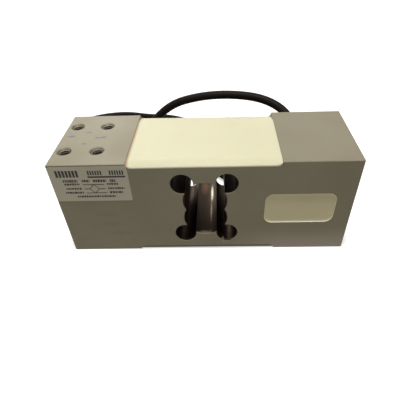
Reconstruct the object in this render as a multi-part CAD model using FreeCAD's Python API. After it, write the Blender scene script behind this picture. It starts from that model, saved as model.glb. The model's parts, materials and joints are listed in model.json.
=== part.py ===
"""Single point load cell: a one-piece aluminium spring element with bonded strain gauges,
silicone potting, a compensation board in a side pocket, and a shielded signal cable.

Frame, in millimetres: X runs along the block with the load end at -X and the fixed end at +X,
Y runs from the label side (-Y) to the cable side (+Y), Z is up, and the origin is at the centre
of the block's underside.
"""
import FreeCAD, Part
import math
import os

from FreeCAD import Vector

# ---- spring element: outer block ----
BLOCK_LENGTH = 174.0
BLOCK_WIDTH = 60.0
BLOCK_HEIGHT = 65.0
EDGE_BREAK = 0.4            # small chamfer on every outer edge

# ---- gauge recesses in the top and bottom faces ----
RECESS_LENGTH = 86.0
RECESS_DEPTH = 3.0
RECESS_CORNER = 3.0         # ball-nose radius left where the floor meets the end walls

# ---- cut-out that turns the block into a parallelogram spring ----
LOBE_RADIUS = 6.5           # the four bores that leave the thin hinges
LOBE_SPACING = 25.8         # along X, between the hinges of one beam
HINGE_WEB = 4.4             # metal left between a lobe and its recess floor
CENTRE_BORE_RADIUS = 13.0   # the two overlapping bores in the middle
BORE_TO_LOBE_RISE = 12.3    # height from a centre bore's axis to its lobes' axes
CUT_BREAK = 0.3             # chamfer where the cut-out meets the side faces
TRIM_CUT_WIDTH = 1.6        # saw cut beside one hinge, made to even out the corners
TRIM_CUT_DEPTH = 1.5
TRIM_CUT_RUN = 5.0
TRIM_FLAT_WIDTH = 5.0       # filed flat beside the saw cut
TRIM_FLAT_ANGLE = 45.0

# ---- tapped mounting holes, four in each end ----
TAP_DRILL = 6.8             # M8 coarse thread, minor diameter
TAP_MOUTH = 9.0             # diameter of the countersunk mouth
TAP_DEPTH = 20.0
DRILL_POINT_ANGLE = 118.0
HOLE_SPACING_X = 19.0
HOLE_SPACING_Y = 30.0
HOLE_END_DISTANCE = 6.4     # outer row to the end face

# ---- side pocket for the compensation board ----
POCKET_LENGTH = 41.5
POCKET_HEIGHT = 21.5
POCKET_DEPTH = 14.0
POCKET_CORNER = 5.0
POCKET_TO_RECESS = 13.0     # pocket centre beyond the recesses' fixed end

# ---- wireways and cable bore ----
WIREWAY_DIAMETER = 3.5
WIREWAY_MOUTH = 6.0
WIREWAY_INSET = 7.0         # from the label side face
WIREWAY_CLEARANCE = 0.25    # to the recess's corner radius
CABLE_BORE_CLEARANCE = 0.5
CABLE_OFFSET = 12.0         # cable bore to the pocket centre, towards the fixed end

# ---- potting ----
POTTING_SINK = 0.3          # how far the silicone lies below the block's faces
POTTING_ROLL = 2.0          # rolled-over edge of the silicone at the open sides of a recess
POCKET_SINK = 0.4
POCKET_ROLL = 0.3

# ---- strain gauges, terminal strips and their wires ----
GAUGE_LENGTH = 9.0
GAUGE_WIDTH = 6.0
GAUGE_THICKNESS = 0.15
TERMINAL_LENGTH = 10.0
TERMINAL_WIDTH = 7.0
TERMINAL_THICKNESS = 0.8
GAUGE_LEAD_DIAMETER = 0.4
GAUGE_LEAD_SPACING = 2.5
WIRE_LIFT = 0.1             # silicone left between a wire and the recess floor
WIRE_BUNDLE_DIAMETER = 1.2
WIRE_BUNDLE_BEND = 1.1
WIRE_STRAIGHT = 6.0         # first straight stretch beside the terminal strip

# ---- compensation board ----
BOARD_LENGTH = 20.0
BOARD_HEIGHT = 16.0
BOARD_THICKNESS = 1.6
BOARD_END_GAP = 3.0         # board to the pocket's load-end wall
RESISTOR_COUNT = 3
RESISTOR_DIAMETER = 2.3
RESISTOR_LENGTH = 6.3
RESISTOR_PITCH = 4.2
RESISTOR_LEAD = 0.6
RESISTOR_LEAD_REACH = 2.0

# ---- cable, bush and cores ----
CABLE_DIAMETER = 6.5
CABLE_INNER_REACH = 4.0     # jacket standing into the pocket
BUSH_SEAT_DIAMETER = 12.0
BUSH_SEAT_DEPTH = 10.0
BUSH_FLANGE_DIAMETER = 15.0
BUSH_FLANGE_THICKNESS = 1.5
BUSH_TAPER_START = 11.0
BUSH_TAPER_END = 8.4
BUSH_REACH = 10.0           # whole length outside the block
BUSH_GROOVES = 3
BUSH_GROOVE_DEPTH = 0.7
BUSH_GROOVE_WIDTH = 1.0
CORE_DIAMETER = 1.3
CORE_RING = 1.45            # radius of the ring that the four cores form in the jacket
CORE_BEND = 1.0
CORE_STRAIGHT = 2.2         # from the jacket's inner end to the first bend
CORE_PITCH = 3.2            # solder points on the board

# Route of the cable from the bush to the coil: chosen by hand, it arches behind the block, comes
# down on the table and runs round to the coil. It starts straight out of the bush.
CABLE_FIRST_RUN = 20.0
CABLE_FIRST_RISE = 1.5
CABLE_ROUTE = [
    (62.5, 80.0, 42.0), (45.0, 92.5, 48.0), (19.0, 97.0, 50.0), (-7.0, 98.0, 48.5),
    (-32.0, 98.0, 42.0), (-52.0, 94.0, 24.0), (-71.0, 88.0, 9.0), (-93.0, 84.0, 3.25),
    (-114.0, 91.5, 3.25), (-127.0, 108.5, 3.25), (-130.5, 129.0, 3.25), (-123.0, 148.0, 3.25),
    (-107.0, 161.0, 3.25), (-85.0, 164.5, 3.25), (-62.0, 157.5, 3.25), (-40.0, 152.0, 3.25),
    (-19.0, 139.0, 3.25), (-3.0, 120.5, 3.25), (1.0, 99.0, 3.7), (1.0, 80.0, 4.25),
]
# Route of the cable from the coil to its free end.
TAIL_ROUTE = [
    (84.0, 80.0, 10.75), (84.0, 98.0, 8.5), (77.5, 115.0, 5.0), (64.5, 128.0, 3.75),
    (48.0, 135.0, 3.75),
]
COIL_CENTRE = (42.5, 76.5)
COIL_MID_RADIUS = 35.0
COIL_TURNS_ACROSS = 3
COIL_LAYERS = 2
COIL_CORNER = 2.6
TIE_THICKNESS = 1.0
TIE_WIDTH = 4.0
TIE_HEAD = (6.0, 6.0, 4.5)
TIE_TAIL = (3.6, 9.0, 1.0)

# ---- free end of the cable ----
SLEEVE_WALL = 0.5
SLEEVE_ON_JACKET = 8.0
SLEEVE_PAST_JACKET = 12.0
LEAD_LENGTHS = {"lead_red": 40.0, "lead_black": 37.0, "lead_green": 42.0, "lead_white": 39.0,
                "lead_shield": 35.0}
LEAD_ROWS = {"lead_black": 0, "lead_green": 1, "lead_red": 2, "lead_white": 3, "lead_shield": 4}
LEAD_FAN = 6.5              # distance between neighbouring free ends
LEAD_BEND_SHARE = 0.62      # share of its length at which a lead reaches the table
LEAD_BEND_FAN = 0.45        # share of its fan that it has taken by then

# ---- type label ----
LABEL_LENGTH = 44.3
LABEL_HEIGHT = 23.4
LABEL_THICKNESS = 0.15
LABEL_CORNER = 1.0
LABEL_END_GAP = 0.5
LABEL_TOP_GAP = 1.0

# ---- places worked out from the sizes above ----
HALF_LENGTH = BLOCK_LENGTH / 2
HALF_WIDTH = BLOCK_WIDTH / 2
MID_HEIGHT = BLOCK_HEIGHT / 2
FLOOR_TOP = BLOCK_HEIGHT - RECESS_DEPTH
LOBE_RISE = MID_HEIGHT - RECESS_DEPTH - HINGE_WEB - LOBE_RADIUS
BORE_RISE = LOBE_RISE - BORE_TO_LOBE_RISE
HINGE_X = LOBE_SPACING / 2
HOLE_X = HALF_LENGTH - HOLE_END_DISTANCE - HOLE_SPACING_X / 2
POCKET_X = RECESS_LENGTH / 2 + POCKET_TO_RECESS
POCKET_FLOOR_Y = -HALF_WIDTH + POCKET_DEPTH
WIREWAY_X = RECESS_LENGTH / 2 - RECESS_CORNER - WIREWAY_DIAMETER / 2 - WIREWAY_CLEARANCE
WIREWAY_Y = -HALF_WIDTH + WIREWAY_INSET
CABLE_X = POCKET_X + CABLE_OFFSET
BOARD_X = POCKET_X - POCKET_LENGTH / 2 + BOARD_END_GAP + BOARD_LENGTH / 2
BOARD_FRONT_Y = POCKET_FLOOR_Y - BOARD_THICKNESS
BUSH_TIP_Y = HALF_WIDTH + BUSH_REACH
CABLE_START = [(CABLE_X, BUSH_TIP_Y, MID_HEIGHT),
               (CABLE_X, BUSH_TIP_Y + CABLE_FIRST_RUN, MID_HEIGHT + CABLE_FIRST_RISE)]

X_AXIS = Vector(1, 0, 0)
Y_AXIS = Vector(0, 1, 0)
Z_AXIS = Vector(0, 0, 1)


# ---- shared helpers ----
def block_at(size, centre):
    """A box of the given size whose centre lies at centre."""
    low = Vector(*[c - s / 2 for s, c in zip(size, centre)])
    return Part.makeBox(size[0], size[1], size[2], low)


def cylinder(radius, start, axis, length):
    """A cylinder that starts at a point and runs along an axis."""
    return Part.makeCylinder(radius, length, start, axis)


def mirrored_down(shape):
    """The same shape on the other side of the block's mid-height plane."""
    return shape.mirror(Vector(0, 0, MID_HEIGHT), Z_AXIS)


def edges_where(shape, test):
    """The straight edges whose two ends both pass the test."""
    return [edge for edge in shape.Edges
            if len(edge.Vertexes) == 2 and all(test(vertex.Point) for vertex in edge.Vertexes)]


def edge_runs_along(edge, axis):
    first, last = (vertex.Point for vertex in edge.Vertexes)
    return abs((last - first).normalize().dot(axis)) > 0.999


def rounded_path(points, bend=None, label=None):
    """A wire of straight runs joined by tangent arcs, and its length.

    Without a bend radius each arc is as large as its two runs allow.
    """
    corners = [Vector(*point) for point in points]
    edges = []
    radii = []
    start = corners[0]
    for before, corner, after in zip(corners, corners[1:], corners[2:]):
        arriving = (corner - before).normalize()
        leaving = (after - corner).normalize()
        half_turn = arriving.getAngle(leaving) / 2
        if bend is None:
            shorter = min((corner - before).Length, (after - corner).Length)
            radius = 0.45 * shorter / math.tan(half_turn)
        else:
            radius = bend
        reach = radius * math.tan(half_turn)
        arc_start = corner - arriving * reach
        arc_end = corner + leaving * reach
        inward = (leaving - arriving).normalize()
        arc_middle = corner + inward * (radius / math.cos(half_turn) - radius)
        edges.append(Part.LineSegment(start, arc_start).toShape())
        edges.append(Part.Arc(arc_start, arc_middle, arc_end).toShape())
        radii.append(radius)
        start = arc_end
    edges.append(Part.LineSegment(start, corners[-1]).toShape())
    if label:
        print(label, "arc radii:", ", ".join("%.1f" % radius for radius in radii))
    return Part.Wire(edges)


def tube_along(points, diameter, bend=None, label=None):
    """A round solid swept along a rounded path."""
    path = rounded_path(points, bend, label)
    start = Vector(*points[0])
    heading = Vector(*points[1]) - start
    ring = Part.Wire([Part.makeCircle(diameter / 2, start, heading)])
    tube = path.makePipeShell([ring], True, False)
    if label:
        expected = path.Length * math.pi * diameter ** 2 / 4
        print(label, "length %.1f, volume over section times length %.4f"
              % (path.Length, tube.Volume / expected))
    return tube


# ---- spring element ----
def recess_space():
    """The space of the top gauge recess, as a cutter: it runs out past the top and the sides.

    Its floor has round corners at the two ends.
    """
    space = Part.makeBox(RECESS_LENGTH, 2 * BLOCK_WIDTH, 2 * RECESS_DEPTH,
                         Vector(-RECESS_LENGTH / 2, -BLOCK_WIDTH, FLOOR_TOP))
    floor_ends = [edge for edge in edges_where(space, lambda p: abs(p.z - FLOOR_TOP) < 1e-6)
                  if edge_runs_along(edge, Y_AXIS)]
    return space.makeFillet(RECESS_CORNER, floor_ends)


def through_bore(radius, x, z):
    """A bore right through the block's width, with its mouths chamfered."""
    bore = cylinder(radius, Vector(x, -HALF_WIDTH - 1, z), Y_AXIS, BLOCK_WIDTH + 2)
    for side, heading in ((-HALF_WIDTH, 1), (HALF_WIDTH, -1)):
        mouth = Part.makeCone(radius + CUT_BREAK, radius, CUT_BREAK, Vector(x, side, z),
                              Y_AXIS * heading)
        bore = bore.fuse(mouth)
    return bore


def binocular_cutout():
    """Four hinge lobes joined by two overlapping centre bores."""
    bores = [through_bore(LOBE_RADIUS, sign_x * HINGE_X, MID_HEIGHT + sign_z * LOBE_RISE)
             for sign_x in (-1, 1) for sign_z in (-1, 1)]
    bores += [through_bore(CENTRE_BORE_RADIUS, 0, MID_HEIGHT + sign_z * BORE_RISE)
              for sign_z in (-1, 1)]
    return bores[0].multiFuse(bores[1:])


def corner_trim():
    """Saw cut and filed flat at the lower fixed-end hinge, made when the cell was adjusted."""
    lobe_bottom = RECESS_DEPTH + HINGE_WEB
    cut_x = HINGE_X - TRIM_FLAT_WIDTH / 2
    saw_cut = block_at((TRIM_CUT_WIDTH, TRIM_CUT_RUN, 2 * TRIM_CUT_DEPTH),
                       (cut_x, -HALF_WIDTH + TRIM_CUT_RUN / 2, lobe_bottom))
    flat = block_at((TRIM_FLAT_WIDTH, TRIM_CUT_RUN, TRIM_CUT_RUN),
                    (cut_x + TRIM_FLAT_WIDTH / 2, 0, 0))
    flat.rotate(Vector(0, 0, 0), X_AXIS, TRIM_FLAT_ANGLE)
    flat.translate(Vector(0, -HALF_WIDTH, lobe_bottom + TRIM_CUT_RUN / 2))
    return [saw_cut, flat]


def tapped_hole(x, y, face_z, inward):
    """A blind tapped hole with a countersunk mouth and a drill point."""
    axis = Z_AXIS * inward
    radius = TAP_DRILL / 2
    mouth_depth = (TAP_MOUTH - TAP_DRILL) / 2
    point_length = radius / math.tan(math.radians(DRILL_POINT_ANGLE / 2))
    hole = cylinder(radius, Vector(x, y, face_z), axis, TAP_DEPTH)
    mouth = Part.makeCone(TAP_MOUTH / 2, radius, mouth_depth, Vector(x, y, face_z), axis)
    point = Part.makeCone(radius, 0, point_length, Vector(x, y, face_z) + axis * TAP_DEPTH, axis)
    return hole.fuse([mouth, point])


def mounting_holes():
    """Four holes in the top of the load end and four in the underside of the fixed end."""
    holes = []
    for centre_x, face_z, inward in ((-HOLE_X, BLOCK_HEIGHT, -1), (HOLE_X, 0, 1)):
        for sign_x in (-1, 1):
            for sign_y in (-1, 1):
                holes.append(tapped_hole(centre_x + sign_x * HOLE_SPACING_X / 2,
                                         sign_y * HOLE_SPACING_Y / 2, face_z, inward))
    return holes


def pocket_space(front_y, roll=0.0):
    """The pocket's space from its floor to front_y, with an optional rolled front edge."""
    depth = POCKET_FLOOR_Y - front_y
    space = block_at((POCKET_LENGTH, depth, POCKET_HEIGHT),
                     (POCKET_X, POCKET_FLOOR_Y - depth / 2, MID_HEIGHT))
    corners = [edge for edge in space.Edges if edge_runs_along(edge, Y_AXIS)]
    space = space.makeFillet(POCKET_CORNER, corners)
    if roll:
        rim = [edge for edge in space.Edges
               if abs(edge.BoundBox.YMin - front_y) < 1e-6
               and abs(edge.BoundBox.YMax - front_y) < 1e-6]
        space = space.makeFillet(roll, rim)
    return space


def wireway():
    """The bore that carries the bridge wires from the top recess down into the pocket."""
    mouth = Vector(WIREWAY_X, WIREWAY_Y, FLOOR_TOP)
    bore = cylinder(WIREWAY_DIAMETER / 2, mouth, -Z_AXIS, FLOOR_TOP - MID_HEIGHT)
    mouth_depth = (WIREWAY_MOUTH - WIREWAY_DIAMETER) / 2
    cone = Part.makeCone(WIREWAY_MOUTH / 2, WIREWAY_DIAMETER / 2, mouth_depth, mouth, -Z_AXIS)
    return bore.fuse(cone)


def cable_bore():
    """The bore from the pocket to the cable side, with the bush's seat at its mouth."""
    bore = cylinder((CABLE_DIAMETER + CABLE_BORE_CLEARANCE) / 2,
                    Vector(CABLE_X, POCKET_FLOOR_Y, MID_HEIGHT), Y_AXIS,
                    HALF_WIDTH - POCKET_FLOOR_Y)
    seat = cylinder(BUSH_SEAT_DIAMETER / 2, Vector(CABLE_X, HALF_WIDTH, MID_HEIGHT), -Y_AXIS,
                    BUSH_SEAT_DEPTH)
    return bore.fuse(seat)


def spring_element():
    block = block_at((BLOCK_LENGTH, BLOCK_WIDTH, BLOCK_HEIGHT), (0, 0, MID_HEIGHT))
    block = block.makeChamfer(EDGE_BREAK, block.Edges)
    recess = recess_space()
    cutters = [recess, mirrored_down(recess), binocular_cutout(), pocket_space(-HALF_WIDTH),
               wireway(), mirrored_down(wireway()), cable_bore()]
    return block.cut(cutters + corner_trim() + mounting_holes())


# ---- strain gauge bridge: the top half, which the bottom half mirrors ----
def gauge(sign_x):
    """A foil gauge bonded to the recess floor over a hinge."""
    return block_at((GAUGE_LENGTH, GAUGE_WIDTH, GAUGE_THICKNESS),
                    (sign_x * HINGE_X, 0, FLOOR_TOP + GAUGE_THICKNESS / 2))


def terminal_strip():
    return block_at((TERMINAL_LENGTH, TERMINAL_WIDTH, TERMINAL_THICKNESS),
                    (0, 0, FLOOR_TOP + TERMINAL_THICKNESS / 2))


def gauge_leads():
    """Two fine wires from each gauge to the terminal strip."""
    start_x = TERMINAL_LENGTH / 2
    length = HINGE_X - GAUGE_LENGTH / 2 - start_x
    z = FLOOR_TOP + WIRE_LIFT + GAUGE_LEAD_DIAMETER / 2
    return [cylinder(GAUGE_LEAD_DIAMETER / 2,
                     Vector(sign_x * start_x, sign_y * GAUGE_LEAD_SPACING / 2, z),
                     X_AXIS * sign_x, length)
            for sign_x in (-1, 1) for sign_y in (-1, 1)]


def bridge_wires():
    """The twisted wires from the terminal strip, down the wireway, to the board."""
    radius = WIRE_BUNDLE_DIAMETER / 2
    floor_z = FLOOR_TOP + WIRE_LIFT + radius
    start_x = TERMINAL_LENGTH / 4
    start_y = -TERMINAL_WIDTH / 2
    board_x = BOARD_X - BOARD_LENGTH / 4
    board_z = MID_HEIGHT + BOARD_HEIGHT / 4
    return tube_along([(start_x, start_y, floor_z),
                       (start_x, start_y - WIRE_STRAIGHT, floor_z),
                       (WIREWAY_X, WIREWAY_Y, floor_z),
                       (WIREWAY_X, WIREWAY_Y, board_z + BOARD_HEIGHT / 4),
                       (board_x, BOARD_FRONT_Y - radius, board_z),
                       (board_x + BOARD_LENGTH / 4, BOARD_FRONT_Y - radius, board_z)],
                      WIRE_BUNDLE_DIAMETER, WIRE_BUNDLE_BEND)


def recess_potting(embedded):
    """Silicone cast into the top recess over the gauges, rolled over at its open sides."""
    top_z = BLOCK_HEIGHT - POTTING_SINK
    filled = Part.makeBox(BLOCK_LENGTH, BLOCK_WIDTH, top_z, Vector(-HALF_LENGTH, -HALF_WIDTH, 0))
    body = recess_space().common(filled)
    open_edges = [edge for edge in edges_where(body, lambda p: abs(p.z - top_z) < 1e-6)
                  if edge_runs_along(edge, X_AXIS)]
    return body.makeFillet(POTTING_ROLL, open_edges).cut(embedded)


# ---- compensation board and its cores ----
def compensation_board():
    return block_at((BOARD_LENGTH, BOARD_THICKNESS, BOARD_HEIGHT),
                    (BOARD_X, POCKET_FLOOR_Y - BOARD_THICKNESS / 2, MID_HEIGHT))


def trim_resistors():
    """Axial resistors lying on the board, each with its two bent leads."""
    resistors = []
    axis_y = BOARD_FRONT_Y - RESISTOR_DIAMETER / 2
    for index in range(RESISTOR_COUNT):
        z = MID_HEIGHT + (index - (RESISTOR_COUNT - 1) / 2) * RESISTOR_PITCH - BOARD_HEIGHT / 8
        body = cylinder(RESISTOR_DIAMETER / 2, Vector(BOARD_X - RESISTOR_LENGTH / 2, axis_y, z),
                        X_AXIS, RESISTOR_LENGTH)
        reach = RESISTOR_LENGTH / 2 + RESISTOR_LEAD_REACH
        lead = tube_along([(BOARD_X - reach, BOARD_FRONT_Y, z), (BOARD_X - reach, axis_y, z),
                           (BOARD_X + reach, axis_y, z), (BOARD_X + reach, BOARD_FRONT_Y, z)],
                          RESISTOR_LEAD, RESISTOR_LEAD)
        resistors.append(body.fuse(lead))
    return resistors


def pocket_cores():
    """The four cores of the cable, from the jacket's inner end to the board's edge."""
    end_y = POCKET_FLOOR_Y - CABLE_INNER_REACH
    board_edge = BOARD_X + BOARD_LENGTH / 2
    names = ("core_red", "core_black", "core_green", "core_white")
    cores = {}
    for index, name in enumerate(names):
        angle = math.radians(45 + 90 * index)
        x = CABLE_X + CORE_RING * math.cos(angle)
        z = MID_HEIGHT + CORE_RING * math.sin(angle)
        pad_z = MID_HEIGHT + (1.5 - index) * CORE_PITCH
        outer = index in (0, 3)
        y = end_y - CORE_STRAIGHT - (CORE_DIAMETER + 0.4) * outer
        pad_y = BOARD_FRONT_Y - CORE_DIAMETER / 2
        cores[name] = tube_along([(x, end_y, z), (x, y, z), (board_edge + 2 * CORE_BEND, y, pad_z),
                                  (board_edge - CORE_BEND, pad_y, pad_z),
                                  (board_edge - 3 * CORE_BEND, pad_y, pad_z)],
                                 CORE_DIAMETER, CORE_BEND)
    return cores


def pocket_potting(embedded):
    return pocket_space(-HALF_WIDTH + POCKET_SINK, POCKET_ROLL).cut(embedded)


# ---- cable, bush, coil and free end ----
def bush():
    """Moulded rubber bush: a plug in its seat, a flange, and a grooved taper on the cable."""
    axis_point = Vector(CABLE_X, HALF_WIDTH, MID_HEIGHT)
    taper_length = BUSH_REACH - BUSH_FLANGE_THICKNESS
    plug = cylinder(BUSH_SEAT_DIAMETER / 2, axis_point, -Y_AXIS, BUSH_SEAT_DEPTH)
    flange = cylinder(BUSH_FLANGE_DIAMETER / 2, axis_point, Y_AXIS, BUSH_FLANGE_THICKNESS)
    taper = Part.makeCone(BUSH_TAPER_START / 2, BUSH_TAPER_END / 2, taper_length,
                          axis_point + Y_AXIS * BUSH_FLANGE_THICKNESS, Y_AXIS)
    body = plug.fuse([flange, taper])
    grooves = []
    for index in range(BUSH_GROOVES):
        along = (index + 1) / (BUSH_GROOVES + 1)
        y = HALF_WIDTH + BUSH_FLANGE_THICKNESS + taper_length * along
        surface = (BUSH_TAPER_START + (BUSH_TAPER_END - BUSH_TAPER_START) * along) / 2
        start = Vector(CABLE_X, y - BUSH_GROOVE_WIDTH / 2, MID_HEIGHT)
        ring = cylinder(surface + 1, start, Y_AXIS, BUSH_GROOVE_WIDTH)
        core = cylinder(surface - BUSH_GROOVE_DEPTH, start, Y_AXIS, BUSH_GROOVE_WIDTH)
        grooves.append(ring.cut(core))
    cable_hole = cylinder(CABLE_DIAMETER / 2, axis_point - Y_AXIS * BUSH_SEAT_DEPTH, Y_AXIS,
                          BUSH_SEAT_DEPTH + BUSH_REACH)
    return body.cut(grooves + [cable_hole])


def cable_in_block():
    """The cable's jacketed stretch from the pocket to the bush's outer end."""
    start_y = POCKET_FLOOR_Y - CABLE_INNER_REACH
    return cylinder(CABLE_DIAMETER / 2, Vector(CABLE_X, start_y, MID_HEIGHT), Y_AXIS,
                    HALF_WIDTH + BUSH_REACH - start_y)


def coil_section():
    """Width and height of the coil's bundle of turns."""
    return COIL_TURNS_ACROSS * CABLE_DIAMETER, COIL_LAYERS * CABLE_DIAMETER


def coil_envelope():
    """The outer shape of the coil, lying on its ties."""
    width, height = coil_section()
    centre = Vector(COIL_CENTRE[0], COIL_CENTRE[1], TIE_THICKNESS)
    outer = cylinder(COIL_MID_RADIUS + width / 2, centre, Z_AXIS, height)
    inner = cylinder(COIL_MID_RADIUS - width / 2, centre, Z_AXIS, height)
    ring = outer.cut(inner)
    rims = [edge for edge in ring.Edges if len(edge.Vertexes) == 1]
    return ring.makeFillet(COIL_CORNER, rims)


def coil_tie(side, coil):
    """A nylon cable tie round the turns, on one side of the coil."""
    width, height = coil_section()
    middle = (COIL_CENTRE[0], COIL_CENTRE[1] + side * COIL_MID_RADIUS,
              TIE_THICKNESS + height / 2)
    strap = block_at((TIE_WIDTH, width + 2 * TIE_THICKNESS, height + 2 * TIE_THICKNESS), middle)
    corners = [edge for edge in strap.Edges if edge_runs_along(edge, X_AXIS)]
    strap = strap.makeFillet(COIL_CORNER, corners).cut(coil)
    top_z = height + 2 * TIE_THICKNESS
    head = block_at(TIE_HEAD, (middle[0], middle[1], top_z + TIE_HEAD[2] / 2))
    tail = block_at(TIE_TAIL, (middle[0], middle[1] - side * (TIE_HEAD[1] + TIE_TAIL[1]) / 2,
                               top_z + TIE_HEAD[2] / 2))
    return strap.fuse([head, tail])


def free_end_axes():
    """The jacket's free end, its heading, and the sideways direction on the table."""
    end = Vector(*TAIL_ROUTE[-1])
    heading = (end - Vector(*TAIL_ROUTE[-2])).normalize()
    return end, heading, Z_AXIS.cross(heading)


def end_sleeve():
    """Heat-shrink sleeve over the end of the jacket and the start of the leads."""
    end, heading, _ = free_end_axes()
    start = end - heading * SLEEVE_ON_JACKET
    length = SLEEVE_ON_JACKET + SLEEVE_PAST_JACKET
    outer = cylinder(CABLE_DIAMETER / 2 + SLEEVE_WALL, start, heading, length)
    inner = cylinder(CABLE_DIAMETER / 2, start, heading, length)
    return outer.cut(inner)


def free_leads():
    """The four cores and the shield, fanned out on the table beyond the sleeve."""
    end, heading, sideways = free_end_axes()
    leads = {}
    count = len(LEAD_LENGTHS)
    for index, (name, length) in enumerate(LEAD_LENGTHS.items()):
        angle = 2 * math.pi * index / count + math.pi / 2
        aside = CORE_RING * math.cos(angle)
        height = end.z + CORE_RING * math.sin(angle)
        spread = (LEAD_ROWS[name] - (count - 1) / 2) * LEAD_FAN
        stations = [(0, aside, height), (SLEEVE_PAST_JACKET + CORE_DIAMETER, aside, height),
                    (length * LEAD_BEND_SHARE, spread * LEAD_BEND_FAN, CORE_DIAMETER / 2),
                    (length, spread, CORE_DIAMETER / 2)]
        points = [tuple(end + heading * along + sideways * across + Z_AXIS * (z - end.z))
                  for along, across, z in stations]
        leads[name] = tube_along(points, CORE_DIAMETER)
    return leads


# ---- type label ----
def type_label():
    """A bare foil plate on the label side of the load end."""
    low_x = -HALF_LENGTH + LABEL_END_GAP
    plate = Part.makeBox(LABEL_LENGTH, LABEL_THICKNESS, LABEL_HEIGHT,
                         Vector(low_x, -HALF_WIDTH - LABEL_THICKNESS,
                                BLOCK_HEIGHT - LABEL_TOP_GAP - LABEL_HEIGHT))
    corners = [edge for edge in plate.Edges if edge_runs_along(edge, Y_AXIS)]
    return plate.makeFillet(LABEL_CORNER, corners)


# ---- the whole part ----
def build():
    nodes = {"spring_element": spring_element()}

    gauges = {"load_end": gauge(-1), "fixed_end": gauge(1)}
    leads = Part.makeCompound(gauge_leads())
    top_half = {"terminal_strip": terminal_strip(), "gauge_leads": leads,
                "bridge_wires": bridge_wires()}
    top_potting = recess_potting(list(gauges.values()) + gauge_leads()
                                 + [top_half["terminal_strip"], top_half["bridge_wires"]])
    nodes["top_potting"] = top_potting
    nodes["bottom_potting"] = mirrored_down(top_potting)
    for end, shape in gauges.items():
        nodes["top_gauge_" + end] = shape
        nodes["bottom_gauge_" + end] = mirrored_down(shape)
    for name, shape in top_half.items():
        nodes["top_" + name] = shape
        nodes["bottom_" + name] = mirrored_down(shape)

    resistors = trim_resistors()
    nodes["compensation_board"] = compensation_board()
    nodes["trim_resistors"] = Part.makeCompound(resistors)
    cores = pocket_cores()
    nodes.update(cores)
    nodes["cable_in_block"] = cable_in_block()
    nodes["pocket_potting"] = pocket_potting(
        resistors + list(cores.values())
        + [nodes["compensation_board"], nodes["cable_in_block"],
           nodes["top_bridge_wires"], nodes["bottom_bridge_wires"]])

    coil = coil_envelope()
    nodes["cable_bush"] = bush()
    nodes["cable_coil"] = coil
    cable = tube_along(CABLE_START + CABLE_ROUTE, CABLE_DIAMETER, label="cable")
    nodes["cable"] = cable.cut([coil, nodes["cable_in_block"]])
    nodes["cable_tail"] = tube_along(TAIL_ROUTE, CABLE_DIAMETER, label="cable_tail").cut(coil)
    nodes["coil_tie_front"] = coil_tie(-1, coil)
    nodes["coil_tie_back"] = coil_tie(1, coil)
    nodes["end_sleeve"] = end_sleeve()
    nodes.update(free_leads())
    nodes["type_label"] = type_label()
    return nodes


os.makedirs("parts", exist_ok=True)
for node, shape in build().items():
    shape.exportStep("parts/" + node + ".step")
    print("%-24s %d solid(s) %10.1f mm3 %s"
          % (node, len(shape.Solids), shape.Volume, "" if shape.isValid() else "NOT VALID"))
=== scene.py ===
"""Looks of a single point load cell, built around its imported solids."""

import json
import math
import random

import bmesh
import bpy
from mathutils import Euler, Matrix, Vector


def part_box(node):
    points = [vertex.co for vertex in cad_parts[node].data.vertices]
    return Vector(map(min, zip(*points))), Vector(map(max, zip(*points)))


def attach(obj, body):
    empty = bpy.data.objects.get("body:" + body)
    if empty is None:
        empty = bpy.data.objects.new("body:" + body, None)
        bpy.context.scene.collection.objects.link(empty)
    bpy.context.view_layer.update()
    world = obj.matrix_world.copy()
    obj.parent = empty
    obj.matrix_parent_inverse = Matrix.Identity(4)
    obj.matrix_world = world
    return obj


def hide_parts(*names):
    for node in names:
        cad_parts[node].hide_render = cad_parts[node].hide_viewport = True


# The script works in metres. Routes, marks and print are written in millimetres.
MM = 0.001
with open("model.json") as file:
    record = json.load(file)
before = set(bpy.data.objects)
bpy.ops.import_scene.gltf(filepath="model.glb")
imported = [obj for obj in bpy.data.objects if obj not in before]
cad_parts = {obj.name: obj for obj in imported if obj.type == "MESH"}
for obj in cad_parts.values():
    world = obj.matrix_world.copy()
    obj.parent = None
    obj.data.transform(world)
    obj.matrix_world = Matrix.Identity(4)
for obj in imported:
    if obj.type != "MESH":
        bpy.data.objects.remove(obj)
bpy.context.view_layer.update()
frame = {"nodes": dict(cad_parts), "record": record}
nodes = frame["nodes"]


# ---- camera ----
# Stands in front of the label side, 11 cm above the block's top, and looks down
# on it at about 47 degrees from the vertical.
CAMERA_PLACE = (0.0084, -0.2032, 0.1740)
CAMERA_TURN = (math.radians(47.41), math.radians(1.72), math.radians(0.85))
SENSOR_WIDTH = 36.0
LENS = 33.62
SHIFT_X = -0.02
SHIFT_Y = 0.079
CLIP_START = 10 * MM

camera_data = bpy.data.cameras.new("camera")
camera_data.sensor_width = SENSOR_WIDTH
camera_data.lens = LENS
camera_data.shift_x = SHIFT_X
camera_data.shift_y = SHIFT_Y
camera_data.clip_start = CLIP_START
camera = bpy.data.objects.new("camera", camera_data)
camera.location = CAMERA_PLACE
camera.rotation_euler = Euler(CAMERA_TURN, "XYZ")
bpy.context.scene.collection.objects.link(camera)
bpy.context.scene.camera = camera
bpy.context.scene.view_settings.view_transform = "Standard"


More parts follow.
